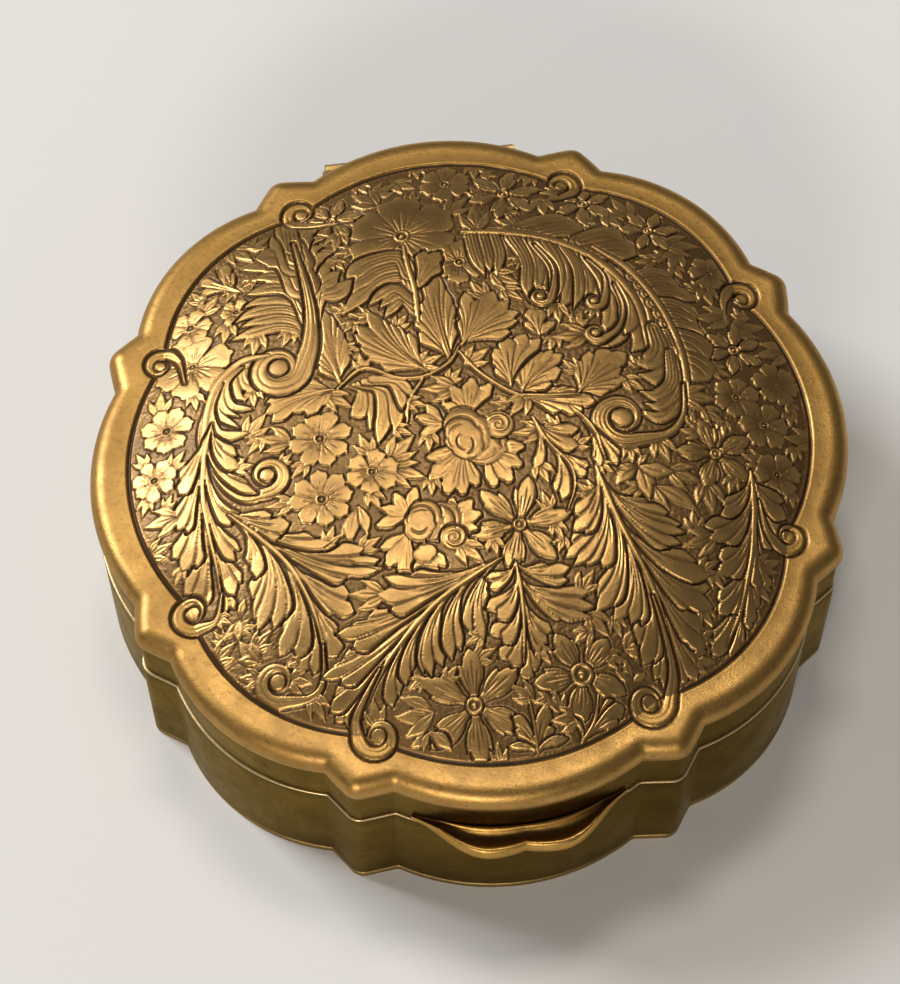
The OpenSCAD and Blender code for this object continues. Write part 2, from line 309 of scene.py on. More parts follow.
def stroke(path, half_width, top, crown=0.10, lines=0, cut=0.08, tilt=0.0, moat=MOAT_W,
           over=False, under=False, soft=False, group=0, tapered=False, hollow=0.0, ends_at=0.92,
           joined=0.0, flat=False):
    """Engraves one blade along a path. Its top follows top, its sides fall by crown, and
    lines run along it and meet at its ends. A moat is cut round it. The moat is shallow
    over blades of the same group, the more so the more they are joined, and over all others
    too if the stroke is soft. A flat blade only falls off near its edges."""
    reach = float(np.max(half_width)) + moat
    low = np.floor((path.min(0) - reach + FIELD) / CELL).astype(int)
    high = np.ceil((path.max(0) + reach + FIELD) / CELL).astype(int) + 1
    low = np.clip(low, 0, COUNT - 1)
    high = np.clip(high, 1, COUNT)
    if (high - low).min() <= 1:
        return
    window = (slice(low[1], high[1]), slice(low[0], high[0]))
    x = field_x[window[1]][None, :, None]
    y = field_x[window[0]][:, None, None]
    a = path[:-1].astype(np.float32)
    d = np.diff(path, axis=0).astype(np.float32)
    size = (d ** 2).sum(1) + 1e-9
    dx = x - a[:, 0]
    dy = y - a[:, 1]
    t = np.clip((dx * d[:, 0] + dy * d[:, 1]) / size, 0, 1)
    ex = dx - t * d[:, 0]
    ey = dy - t * d[:, 1]
    square = ex ** 2 + ey ** 2
    nearest = square.argmin(-1)[..., None]
    t = np.take_along_axis(t, nearest, -1)[..., 0]
    dist = np.sqrt(np.take_along_axis(square, nearest, -1)[..., 0])
    side = np.take_along_axis(d[:, 0] * dy - d[:, 1] * dx, nearest, -1)[..., 0]
    nearest = nearest[..., 0]
    width = np.asarray(half_width, np.float32)
    width = width[nearest] * (1 - t) + width[nearest + 1] * t
    tops = np.broadcast_to(np.asarray(top, np.float32), len(path))
    level = tops[nearest] * (1 - t) + tops[nearest + 1] * t
    along = (nearest + t) / (len(path) - 1)
    v = np.where(side < 0, -dist, dist) / np.maximum(width, 0.05)
    fall_off = np.clip(2 * np.abs(v) - 1, 0, 1) ** 2 if flat else v ** 2
    height = level - crown * fall_off + tilt * v - hollow * np.clip(1 - (v / 0.8) ** 2, 0, 1)
    if lines:
        pitch = 2 * width / lines
        phase = (v * 0.5 + 0.5) * lines
        number = np.round(phase)
        gap = np.abs(phase - number) * pitch
        last = ends_at - 0.2 * (number.astype(int) % 2)
        wide_enough = np.clip((pitch - LEAST_PITCH) / LEAST_PITCH, 0, 1)
        shown = wide_enough * np.clip((last - along) / 0.1, 0, 1)
        height = height - cut * np.clip(1.3 - gap / LINE_HALF_W, 0, 1) * shown * (np.abs(v) < 0.93)
    free = np.ones_like(dist, bool) if over else inside_border[window].copy()
    taken = covered[window]
    if under:
        free &= ~taken
    body = (dist < width) & free
    room = np.full_like(dist, moat)
    if tapered:
        room = moat * (0.35 + 0.65 * np.clip(along / 0.45, 0, 1))
    edge = (dist >= width) & (dist < width + room) & free
    kin = (owner[window] == group) | (taken if soft else False)
    patch = relief[window]
    fall = np.clip(1 - (dist - width) / np.maximum(room, 1e-6), 0, 1)
    near = edge & kin
    apart = np.clip((along[near] - 0.62) / 0.2, 0, 1) * (1 - joined) * (group > 0)
    slope = np.clip(1 - (dist[near] - width[near]) / (0.15 + 0.1 * apart), 0, 1)
    patch[near] -= (KIN_MOAT - JOINED_LESS * joined + APART_MORE * apart) * slope
    far = edge & ~kin
    patch[far] = np.minimum(patch[far], -MOAT * np.minimum(1.25 * fall[far], 1))
    patch[body] = np.minimum(height[body], 0.0)
    taken |= body
    owner[window][body] = group


LOBE = np.array([[0, .3], [.3, .5], [.55, .82], [.75, 1], [.9, .66], [1, .04]])
PETAL = np.array([[0, .34], [.15, .5], [.4, .86], [.6, 1], [.8, .80], [.93, .40], [1, .03]])
ROUND_PETAL = np.array([[0, .22], [.2, .5], [.5, .86], [.75, 1], [.9, .86], [1, .22]])
LEAFLET = np.array([[0, .12], [.25, .7], [.5, 1], [.75, .66], [1, .03]])


def profile(shape, width, count):
    return width * np.interp(np.linspace(0, 1, count), shape[:, 0], shape[:, 1])


def lift(low, high, count, peak=0.6):
    """Heights along a blade: low at its root, high at peak, and a little lower at its tip."""
    t = np.linspace(0, 1, count)
    rise = np.sin(np.minimum(t / peak, 1) * np.pi / 2)
    return low + (high - low) * rise - 0.06 * np.clip(t - peak, 0, 1)


def more_teeth(tips, root, widest=2.5):
    """The tips of a lobe's teeth, with one more between two that are far apart."""
    result = [tips[0]]
    for before, after in zip(tips, tips[1:]):
        if np.linalg.norm(after - before) > widest:
            between = (before + after) / 2
            result.append(between + 0.06 * (between - root))
        result.append(after)
    return result


def fan(root, way, tips, reach=0.5, broad=1.0, lead=None, blunt=0.0, lines=2, cut=0.13, **options):
    """A lobe: blades that leave one root together, lie side by side, and end in its teeth.
    They run along the lead first, if there is one."""
    tips = more_teeth([spot(*p) for p in tips], root)
    across = np.array([-way[1], way[0]])
    group = next(groups)
    paths = []
    for tip in tips:
        chord = tip - root
        forward = max(chord @ way, 0.4 * np.linalg.norm(chord))
        control = root + way * reach * forward + across * 0.22 * (chord @ across)
        paths.append(bent_path(root, control, tip, 18))
    t = np.linspace(0, 1, 18)
    point = np.clip((t - 0.80) / 0.20, 0, 1)
    taper = 1 - (1 - blunt) * point ** 1.7
    middle = (len(tips) - 1) / 2
    for k in sorted(range(len(tips)), key=lambda k: -abs(k - middle - 0.1)):
        length = np.linalg.norm(tips[k] - root)
        beside = [np.linalg.norm(paths[k] - paths[j], axis=1)
                  for j in (k - 1, k + 1) if 0 <= j < len(tips)]
        if beside:
            widths = np.maximum(0.60 * broad * np.mean(beside, axis=0), 0.025 * length * (1 + t))
            widths = np.minimum(widths, 0.2 * broad * length) * taper
        else:
            widths = profile(LOBE, 0.15 * broad * length, 18)
        widths = np.maximum(widths, 0.03)
        path = paths[k]
        tops = lift(-0.10, -0.01, 18)
        if lead is not None and len(lead) > 2:
            path = np.concatenate([lead[:-1], path])
            run_in = np.linspace(0.06, 0.12, len(lead) - 1)
            widths = np.concatenate([run_in, np.maximum(widths, 0.12 * (t < 0.3))])
            tops = np.concatenate([np.full(len(lead) - 1, tops[0]), tops])
        chord = tips[k] - root
        hand = np.sign(way[0] * chord[1] - way[1] * chord[0])
        stroke(path, widths, tops, crown=0.07, flat=True, lines=lines, cut=cut, tilt=-0.04 * hand,
               group=group, tapered=True, **options)


def leaf(stem, lobes, thick=0.34, broad=1.0, reach=0.75, lead=0.16, **options):
    """An acanthus leaf: a thin stem, and lobes as (share along the stem, tips of the teeth)."""
    path = smooth_path([spot(*p) for p in stem], 60)
    ways = np.gradient(path, axis=0)
    ways /= np.linalg.norm(ways, axis=1)[:, None]
    sides = np.stack([-ways[:, 1], ways[:, 0]], 1)
    for share, tips in sorted(lobes, key=lambda one: -one[0]):
        k = int(round(share * (len(path) - 1)))
        first = max(0, k - int(round(lead * (len(path) - 1))))
        middle = np.mean([spot(*tip) for tip in tips], axis=0)
        hand = np.sign((middle - path[k]) @ sides[k])
        off = np.linspace(0.1, 0.85, k + 1 - first)[:, None] * thick * hand
        beside = path[first:k + 1] + sides[first:k + 1] * off
        fan(beside[-1], ways[k], tips, reach, broad, beside, **options)
    t = np.linspace(0, 1, len(path))
    widths = thick * np.interp(t, [0, 0.15, 0.5, 0.85, 1], [0.25, 0.8, 0.7, 0.45, 0.12])
    stroke(path, widths, -0.01, crown=0.14, soft=True, moat=0.3, group=next(groups), **options)


def wave(inner, outer, blades, **options):
    """A curling lobe: smooth blades laid side by side from one guide curve to another, every
    other one a little shorter."""
    first = smooth_path([spot(*p) for p in inner], 24)
    last = smooth_path([spot(*p) for p in outer], 24)
    gap = np.linalg.norm(last - first, axis=1) / (blades - 1)
    t = np.linspace(0, 1, 24)
    taper = 1 - np.clip((t - 0.70) / 0.30, 0, 1) ** 1.6
    group = next(groups)
    for k, share in enumerate(np.linspace(0, 1, blades)):
        stop = 24 - 2 * (k % 2)
        path = (first + share * (last - first))[:stop]
        widths = np.maximum(0.60 * gap, 0.10)[:stop] * np.interp(np.linspace(0, 1, stop), t, taper)
        stroke(path, widths, lift(-0.10, -0.01, stop), crown=0.09, flat=True, lines=4, cut=0.07,
               tilt=0.03, moat=0.4, group=group, tapered=True, joined=0.2, ends_at=0.85,
               **options)


def broad_leaf(root, turn, tips, reach=0.6):
    """A broad flat leaf with a toothed edge and fine veins."""
    fan(spot(*root), heading(math.radians(turn)), tips, reach, 1.15, blunt=0.1, cut=0.07, moat=0.4,
        joined=1.0)


def vine(points, half_width=0.30):
    """A thin stem."""
    path = smooth_path([spot(*p) for p in points], 12 * len(points))
    t = np.linspace(0, 1, len(path))
    widths = half_width * np.interp(t, [0, 0.15, 0.85, 1], [0.5, 1, 0.9, 0.4])
    stroke(path, widths, -0.01, crown=0.14, moat=0.32, soft=True, group=next(groups))


def spiral(centre, radius, end_angle, hand, turns=1.25, count=30, inner=0.2):
    """Points from a volute's bud out to its last turn, which ends at end_angle."""
    t = np.linspace(0, 1, count)
    angle = end_angle - hand * 2 * np.pi * turns * (1 - t)
    r = radius * (inner + (1 - inner) * t ** 1.2)
    return centre + np.stack([r * np.cos(angle), r * np.sin(angle)], 1)


def volute(x, y, radius, hand, tail, width=0.3, turns=1.25, over=False, lines=2):
    """A scroll that winds round a bud and runs out along its tail to a point. The last turn
    ends where it heads for the tail's first point."""
    centre = spot(x, y)
    radius = radius * STEP
    size = radius * (1 - 0.6 * width)
    leads_to = spot(*tail[0]) - centre
    opens = math.acos(min(size / np.linalg.norm(leads_to), 1))
    turn = spiral(centre, size, math.atan2(leads_to[1], leads_to[0]) - hand * opens, hand, turns)
    run = smooth_path([turn[-1]] + [spot(*p) for p in tail], 10 * len(tail))
    path = np.concatenate([turn, run[1:]])
    share = len(turn) / len(path)
    t = np.linspace(0, 1, len(path))
    places = [0, 0.5 * share, 0.85 * share, share, 0.65 * share + 0.35, 1]
    widths = width * radius * np.interp(t, places, [.4, .7, 1, .9, .5, .1])
    stroke(path, widths, -0.01, crown=0.14, lines=lines, cut=0.09, over=over, moat=0.4,
           tilt=0.04 * hand, group=next(groups), ends_at=1.2)
    dot(centre, 0.32 * radius, over=over)


def dot(centre, radius, top=-0.02, moat=0.24, **options):
    """A round bud."""
    path = np.array([centre - [0.02, 0], centre + [0.02, 0]])
    stroke(path, [radius, radius], top, crown=0.12, moat=moat, **options)


def flower(x, y, radius, petals, turn, pointed, heart, **options):
    """An open flower: toothed or round petals about a ringed heart."""
    centre = spot(x, y)
    size = radius * STEP
    order = list(range(0, petals, 2)) + list(range(1, petals, 2))
    for k in order:
        angle = math.radians(turn + chance.uniform(-5, 5)) + 2 * np.pi * k / petals
        way = heading(angle)
        if pointed:
            far = size * chance.uniform(0.94, 1.06)
            wide = size * min(1.32 / petals, 0.25)
            across = np.array([-way[1], way[0]])
            group = next(groups)
            for side in (-1, 1):
                tooth = centre + way * 0.72 * far + across * side * 0.98 * wide
                path = bent_path(centre + way * 0.15 * size, centre + way * 0.4 * size, tooth, 10)
                stroke(path, profile(PETAL, 0.55 * wide, 10), lift(-0.16, -0.03, 10, 0.7),
                       crown=0.06, lines=2, cut=0.06, moat=0.36, group=group, **options)
            bend = across * 0.08 * size * chance.uniform(-1, 1)
            control = centre + way * 0.6 * size + bend
            path = bent_path(centre + way * 0.12 * size, control, centre + way * far, 12)
            stroke(path, profile(PETAL, 0.82 * wide, 12), lift(-0.16, -0.01, 12, 0.7), crown=0.10,
                   lines=4, cut=0.10, moat=0.36, group=group, ends_at=0.75, **options)
        else:
            tip = centre + way * size * chance.uniform(0.92, 1.04)
            path = bent_path(centre + way * 0.12 * size, centre + way * 0.6 * size, tip, 10)
            wide = size * 0.80 * math.sin(np.pi / petals)
            stroke(path, profile(ROUND_PETAL, wide, 10), lift(-0.15, -0.01, 10, 0.8), crown=0.05,
                   flat=True, lines=4, cut=0.07, moat=0.30, ends_at=0.6, **options)
    size = heart * radius * STEP
    for share, top, moat in ((1, -0.02, 0.3), (0.62, -0.22, 0.05), (0.30, -0.08, 0.1)):
        dot(centre, share * size, top=top, moat=moat, **options)


def petal_shell(root, tips, reach=0.5, broad=1.1):
    """A rose petal with a scalloped edge and fine lines that run in to its root."""
    start = spot(*root)
    middle = np.mean([spot(*tip) for tip in tips], axis=0)
    way = (middle - start) / np.linalg.norm(middle - start)
    fan(start, way, tips, reach, broad, blunt=0.5, lines=3, cut=0.05, moat=0.36, joined=1.0)


def petal_cup(x, y, length, width, turn, top=-0.01, hollow=0.05):
    """A smooth rounded petal seen from above, longer than it is wide."""
    centre = spot(x, y)
    way = heading(math.radians(turn)) * (length - width) * STEP
    path = np.linspace(centre - way, centre + way, 6)
    widths = width * STEP * np.array([0.86, 0.97, 1.0, 1.0, 0.94, 0.82])
    stroke(path, widths, top, crown=0.14, hollow=hollow, moat=0.3, group=next(groups), soft=True)


def wound_bud(x, y, radius, turn):
    """A rose's heart: petals wound into a spiral."""
    centre = spot(x, y)
    size = radius * STEP
    dot(centre, size, top=-0.05)
    bud = spiral(centre, 0.80 * size, math.radians(turn), 1, 2.0, 30, 0.08)
    stroke(bud, np.linspace(0.09, 0.14, 30) * size, 0.0, crown=0.08, moat=0.2, soft=True)


def fold(x, y, radius, start, end):
    """A thin crescent cut, the shadow of a petal's fold."""
    ring = arc(spot(x, y), radius * STEP, math.radians(start), math.radians(end), 14)
    widths = 0.10 * np.sin(np.linspace(0.1, np.pi - 0.1, 15))
    stroke(ring, widths, -0.16, crown=0, moat=0.08, soft=True)


def leaflet(start, end, wide=0.26, bend=0.0, **options):
    """A small pointed leaf with a midrib."""
    chord = end - start
    across = np.array([-chord[1], chord[0]])
    path = bent_path(start, (start + end) / 2 + bend * across, end, 10)
    stroke(path, profile(LEAFLET, wide * np.linalg.norm(chord), 10), lift(-0.16, -0.03, 10),
           crown=0.08, lines=2, cut=0.08, tilt=0.03, moat=0.34, **options)


def sprig(x, y, tips, wide=0.22, bend=0.12, **options):
    """Small leaves that spread from one place to the given tips."""
    start = spot(x, y)
    for k, (tip_x, tip_y) in enumerate(tips):
        leaflet(start, spot(tip_x, tip_y), wide, bend * (-1) ** k, **options)


# Flowers, buds and small leaves, which the large leaves overlap
for x, y, radius, petals, turn, pointed, heart in (
        (-90, -745, 140, 6, 30, True, 0.15), (185, -700, 118, 5, 45, True, 0.24),
        (85, -302, 130, 6, 8, True, 0.13), (615, -145, 105, 5, 28, True, 0.14),
        (-400, -160, 80, 8, 0, False, 0.2), (-265, -105, 66, 6, 15, False, 0.2),
        (-385, 12, 80, 8, 10, False, 0.2), (-690, 315, 105, 6, 12, False, 0.13),
        (-775, 135, 70, 7, 0, False, 0.22), (-820, 0, 60, 7, 8, False, 0.22),
        (-685, 445, 58, 6, 0, False, 0.24), (-560, 455, 45, 6, 0, False, 0.24),
        (-100, 615, 150, 6, 30, False, 0.14), (720, 170, 80, 6, 20, True, 0.18),
        (760, -60, 65, 6, 0, False, 0.2), (770, -200, 60, 6, 0, False, 0.2),
        (700, 20, 60, 6, 15, False, 0.2), (190, 740, 100, 6, 10, True, 0.16),
        (-280, 720, 85, 6, 0, True, 0.16), (560, 580, 80, 6, 0, True, 0.16),
        (700, 430, 55, 6, 0, False, 0.2), (400, 690, 85, 6, 20, True, 0.18),
        (40, 800, 70, 6, 20, False, 0.2), (40, 500, 75, 6, 20, False, 0.2)):
    flower(x, y, radius, petals, turn, pointed, heart)
sprig(410, -170, [(420, -270), (345, -220), (355, -165), (500, -195), (440, -140)], 0.26)
sprig(440, -230, [(540, -305), (470, -300)], 0.2)
sprig(300, -650, [(335, -600), (355, -635), (340, -670)], 0.26)
sprig(310, -720, [(300, -670), (345, -705), (270, -700)], 0.26)
sprig(-190, -745, [(-290, -740), (-270, -700), (-270, -790)], 0.2)
sprig(-210, -790, [(-260, -815), (-230, -830), (-160, -840)], 0.26)
sprig(-310, -195, [(-370, -275), (-345, -300), (-300, -280)], 0.2)
sprig(-500, -270, [(-450, -235), (-440, -265)], 0.26)
sprig(-600, -550, [(-650, -480), (-660, -530), (-620, -490)], 0.26)
sprig(-640, -430, [(-690, -470), (-650, -490), (-620, -380)], 0.26)

# The two roses
petal_shell((-55, 0), [(-98, 62), (-128, 35), (-122, -15)])
petal_shell((0, 10), [(-58, 62), (-28, 104), (22, 120), (62, 98)])
petal_shell((-20, -60), [(-112, -85), (-112, -140), (-80, -183), (-44, -192), (-8, -172)])
petal_shell((10, -60), [(36, -180), (75, -172), (106, -132), (118, -85)])
petal_cup(30, -58, 78, 66, 60, -0.05, 0.0)
petal_cup(22, -52, 66, 56, 60, -0.03, 0.0)
wound_bud(72, -14, 40, 200)
petal_cup(-10, -20, 80, 60, 115, -0.03, 0.0)
petal_cup(-20, -42, 70, 50, 105)
fold(-20, -40, 40, 95, 215)
fold(-14, -52, 26, 120, 250)
fold(-28, -60, 30, -70, 30)
petal_shell((-180, -250), [(-264, -258), (-248, -214), (-212, -180), (-163, -172)])
petal_shell((-190, -280), [(-262, -318), (-254, -364), (-220, -400), (-192, -392)])
petal_shell((-160, -310), [(-185, -400), (-150, -412), (-118, -385)])
petal_shell((-110, -290), [(-75, -215), (-32, -226), (-15, -262), (-28, -300)])
petal_cup(-112, -268, 66, 56, 40, -0.05, 0.0)
petal_cup(-122, -272, 58, 48, 40, -0.03, 0.0)
wound_bud(-84, -317, 35, 60)
petal_cup(-150, -256, 62, 50, 75, -0.03, 0.0)
petal_cup(-163, -268, 56, 42, 70)
fold(-160, -262, 34, 60, 175)
fold(-166, -272, 22, 200, 330)
petal_cup(-160, -350, 36, 28, 20)

# Back left
broad_leaf((-335, 150), 172, [(-400, 190), (-460, 175), (-510, 145), (-500, 85), (-455, 105),
                                  (-410, 85), (-370, 105)])
broad_leaf((-315, 170), 104, [(-365, 225), (-368, 300), (-352, 360), (-330, 400), (-300, 340),
                                  (-285, 260)])
broad_leaf((-90, 170), 150, [(-205, 205), (-250, 265), (-250, 335), (-215, 375),
                                  (-165, 325), (-120, 290)])
broad_leaf((-25, 195), 104, [(-95, 285), (-85, 375), (-60, 435), (-35, 480),
                                  (-8, 410), (0, 320)])
wave([(-300, 152), (-262, 135), (-268, 85), (-300, 60)],
     [(-300, 155), (-235, 130), (-232, 60), (-270, 0)], 2)
wave([(-280, 155), (-220, 125), (-212, 60), (-240, -30)],
     [(-270, 158), (-190, 125), (-180, 60), (-200, -20)], 2)
wave([(-250, 160), (-190, 145), (-165, 105), (-168, 60)],
     [(-230, 165), (-170, 150), (-145, 120), (-142, 85)], 2)
vine([(-325, 150), (-250, 200), (-170, 160), (-100, 153), (-30, 185), (5, 235)])
vine([(-100, 150), (-145, 85), (-160, 20)], 0.26)
vine([(0, 215), (40, 150), (100, 90), (140, 65)], 0.30)
wave([(-92, 400), (-105, 470), (-165, 475), (-225, 435), (-285, 375)],
     [(-95, 480), (-115, 540), (-170, 545), (-230, 520), (-262, 465)], 3)
wave([(-95, 350), (-125, 395), (-178, 348)],
     [(-95, 390), (-145, 440), (-215, 395)], 3)
broad_leaf((-90, 420), 62, [(-45, 470), (-12, 500), (-8, 540), (-50, 550)])
vine([(-92, 320), (-88, 420), (-98, 520), (-100, 580)], 0.34)
wave([(-360, 380), (-335, 445), (-290, 455), (-245, 490)],
     [(-365, 440), (-345, 520), (-310, 560), (-275, 565)], 3)
wave([(-372, 480), (-350, 560), (-320, 590), (-285, 595)],
     [(-380, 540), (-368, 615), (-345, 655), (-300, 655)], 3)
wave([(-385, 560), (-372, 640), (-350, 690), (-315, 700)],
     [(-392, 600), (-390, 680), (-375, 735), (-345, 750)], 2)
wave([(-385, 260), (-395, 340), (-445, 375), (-515, 375), (-585, 365)],
     [(-372, 330), (-390, 430), (-450, 470), (-520, 470), (-560, 445)], 4)
wave([(-372, 380), (-395, 470), (-450, 510), (-530, 505)],
     [(-375, 460), (-400, 550), (-455, 590), (-535, 600)], 3)
wave([(-378, 500), (-405, 590), (-450, 625), (-495, 630)],
     [(-385, 580), (-405, 660), (-430, 700), (-445, 725)], 2)
wave([(-388, 600), (-398, 670), (-415, 720), (-420, 750)],
     [(-390, 640), (-392, 700), (-395, 750), (-385, 775)], 2)
leaf([(-540, 520), (-580, 560), (-600, 630)],
     [(0.1, [(-640, 560), (-645, 600)]), (0.2, [(-555, 600), (-570, 640)])], 0.25)
wave([(-505, 275), (-555, 270), (-560, 225), (-525, 185)],
     [(-520, 285), (-585, 265), (-590, 205), (-555, 150)], 2)
wave([(-560, 272), (-605, 230), (-600, 160), (-545, 135)],
     [(-575, 272), (-630, 220), (-640, 150), (-585, 85)], 3)
wave([(-620, 235), (-655, 160), (-640, 80), (-560, 65)],
     [(-635, 225), (-680, 120), (-670, 30), (-580, -10)], 3)
volute(-467, 245, 82, 1, [(-378, 300), (-366, 400), (-372, 520), (-388, 660)], 0.42, 1.5,
       lines=3)
vine([(-490, 290), (-560, 290), (-625, 245), (-662, 170), (-680, 80), (-685, 0)], 0.50)

# Back right
broad_leaf((150, 55), -8, [(235, 75), (290, 60), (330, 20), (290, 0), (240, 5)])
broad_leaf((290, 55), 45, [(300, 130), (335, 175), (385, 180), (430, 160), (410, 115),
                                (420, 80), (370, 50)])
broad_leaf((145, 75), 62, [(135, 155), (165, 200), (210, 190), (265, 170), (255, 125),
                                (225, 85)])
broad_leaf((120, 95), 88, [(85, 150), (92, 210), (130, 240), (180, 245), (215, 225)])
broad_leaf((10, 235), 52, [(25, 320), (40, 395), (78, 370), (115, 390), (148, 350),
                                (172, 315), (140, 255)])
vine([(140, 65), (210, 55), (290, 50)], 0.28)
broad_leaf((215, 235), 96, [(180, 280), (198, 322), (232, 318), (262, 275)])
wave([(260, 555), (270, 470), (262, 400), (225, 385)],
     [(190, 570), (215, 480), (205, 400), (205, 345)], 3)
wave([(310, 540), (325, 440), (305, 350), (275, 320)],
     [(260, 555), (290, 450), (275, 370), (240, 330)], 2)
wave([(360, 510), (390, 420), (385, 345), (355, 310)],
     [(320, 535), (345, 450), (340, 370), (315, 310)], 3)
wave([(430, 440), (455, 340), (435, 240), (385, 195), (335, 215)],
     [(380, 490), (415, 390), (410, 290), (385, 245), (350, 245)], 3)
wave([(470, 380), (490, 290), (480, 205), (445, 165)],
     [(440, 420), (465, 330), (455, 255), (425, 205)], 2)
wave([(140, 585), (145, 510), (130, 440)], [(80, 590), (85, 510), (100, 440)], 3)
wave([(220, 600), (300, 620), (360, 610)], [(260, 580), (340, 590), (400, 570)], 2)
wave([(370, 540), (440, 555), (490, 535)], [(400, 500), (470, 505), (525, 480)], 2)
vine([(60, 605), (180, 590), (290, 555), (385, 490), (455, 400), (490, 300), (490, 170)],
     0.50)
wave([(490, 410), (550, 420), (600, 400)], [(520, 350), (590, 360), (645, 330)], 3)
wave([(530, 320), (590, 310), (640, 265)], [(555, 250), (605, 240), (650, 190)], 3)
wave([(565, 200), (610, 180), (645, 130)], [(575, 130), (610, 110), (640, 60)], 2)
wave([(540, 220), (545, 130), (505, 85), (450, 95)],
     [(515, 240), (520, 170), (485, 130), (440, 125)], 2)
wave([(560, 120), (550, 20), (490, -35), (430, -10)],
     [(545, 160), (535, 70), (490, 30), (445, 45)], 3)
vine([(400, 520), (480, 440), (540, 330), (572, 210), (578, 90), (555, -20)], 0.46)
volute(236, 362, 36, 1, [(278, 400), (282, 460), (245, 540)], 0.36, 1.1)
volute(375, 335, 32, 1, [(412, 370), (412, 420), (375, 480)], 0.36, 1.1)
volute(362, 232, 36, 1, [(425, 245), (448, 310), (435, 390)], 0.36, 1.1)
volute(390, -30, 86, 1, [(500, -85), (550, -30), (565, 60)], 0.28, 1.35, lines=4)
leaf([(160, 0), (190, -80), (235, -150), (240, -210), (210, -280)],
     [(0.10, [(275, -50), (265, -100)]), (0.35, [(285, -160), (270, -190)]),
      (0.15, [(145, -150)]), (0.40, [(185, -225), (200, -250)])], 0.3)
leaf([(260, 20), (310, -50), (330, -150)],
     [(0.3, [(300, -150), (305, -170)]), (0.3, [(365, -140), (355, -165)])], 0.3)

# Front left
volute(-530, -65, 62, -1, [(-600, -115), (-655, -50), (-675, 40)], 0.32, 1.25)
leaf([(-655, 120), (-685, 30), (-700, -80), (-695, -180), (-685, -280), (-680, -380)],
     [(0.10, [(-755, -20), (-760, -60)]),
      (0.22, [(-775, -120), (-775, -155), (-750, -170)]),
      (0.38, [(-795, -225), (-775, -265), (-735, -265)]),
      (0.58, [(-775, -325), (-755, -360), (-725, -370)]),
      (0.05, [(-600, 10), (-600, -30)]),
      (0.16, [(-575, -85), (-560, -110)]),
      (0.26, [(-600, -180), (-635, -180)]),
      (0.42, [(-620, -250), (-635, -275)]),
      (0.56, [(-625, -335), (-645, -365)]),
      (0.72, [(-650, -400), (-675, -405)])], 0.45, 1.05)
volute(-758, -378, 56, 1, [(-700, -415), (-678, -350)], 0.32, 1.25, over=True)
leaf([(-640, -150), (-570, -230), (-510, -310), (-470, -400), (-447, -500), (-440, -600)],
     [(0.02, [(-530, -175), (-487, -210), (-515, -240)]),
      (0.14, [(-430, -262), (-375, -290)]),
      (0.26, [(-310, -310), (-268, -372), (-325, -365), (-365, -385)]),
      (0.46, [(-360, -425), (-355, -475), (-395, -465)]),
      (0.66, [(-410, -525), (-412, -575)]),
      (0.12, [(-600, -300), (-590, -335)]),
      (0.26, [(-605, -385), (-603, -470), (-560, -475), (-530, -455)]),
      (0.46, [(-535, -505), (-555, -545), (-510, -560)]),
      (0.64, [(-505, -595), (-475, -605)])], 0.45, 1.05)
volute(-565, -605, 62, 1, [(-490, -660), (-452, -625), (-442, -540)], 0.32, 1.25)
leaf([(30, -385), (-60, -430), (-140, -475), (-220, -540), (-300, -620), (-350, -690),
      (-385, -750)],
     [(0.10, [(-205, -400), (-270, -395), (-290, -440), (-265, -485)]),
      (0.28, [(-330, -500), (-405, -520), (-370, -560)]),
      (0.42, [(-400, -585), (-455, -617), (-410, -640)]),
      (0.58, [(-430, -665), (-445, -700)]),
      (0.72, [(-435, -725), (-405, -740)]),
      (0.06, [(-30, -530), (-45, -595), (-75, -570)]),
      (0.20, [(-105, -610), (-130, -630)]),
      (0.32, [(-155, -640), (-185, -660), (-205, -650)]),
      (0.46, [(-235, -645), (-250, -670)]),
      (0.60, [(-270, -690), (-290, -715)])], 0.45, 1.05)
volute(-335, -775, 60, -1, [(-385, -730), (-355, -680), (-310, -620)], 0.32, 1.25,
       over=True)

# Front right
leaf([(60, -400), (63, -480), (58, -570), (45, -660)],
     [(0.05, [(150, -425), (195, -430), (185, -465)]),
      (0.20, [(235, -500), (230, -565), (170, -555)]),
      (0.42, [(125, -590), (90, -635)]),
      (0.05, [(-20, -435), (-15, -465)]),
      (0.20, [(-30, -515), (-5, -545)]),
      (0.38, [(-30, -580), (0, -605)]),
      (0.56, [(-15, -640), (15, -665)]),
      (0.75, [(75, -680), (45, -700)])], 0.35, 1.1)
leaf([(300, -160), (325, -280), (355, -380), (385, -470), (407, -570), (415, -680)],
     [(0.08, [(225, -290), (215, -335), (245, -345)]),
      (0.17, [(205, -365), (185, -405), (235, -430), (275, -440)]),
      (0.32, [(250, -510), (242, -550), (280, -540)]),
      (0.42, [(285, -575), (325, -585), (352, -590)]),
      (0.56, [(335, -635), (340, -685), (372, -680)]),
      (0.74, [(365, -720), (385, -740)]),
      (0.12, [(425, -285), (465, -305), (500, -360), (450, -400)]),
      (0.36, [(515, -435), (545, -475)]),
      (0.46, [(540, -505), (540, -555), (490, -550)]),
      (0.64, [(505, -605), (505, -655), (475, -640)]),
      (0.80, [(475, -690), (475, -725), (440, -735)])], 0.5, 1.05)
volute(345, -775, 62, 1, [(414, -710), (407, -620), (390, -520)], 0.32, 1.25, over=True)
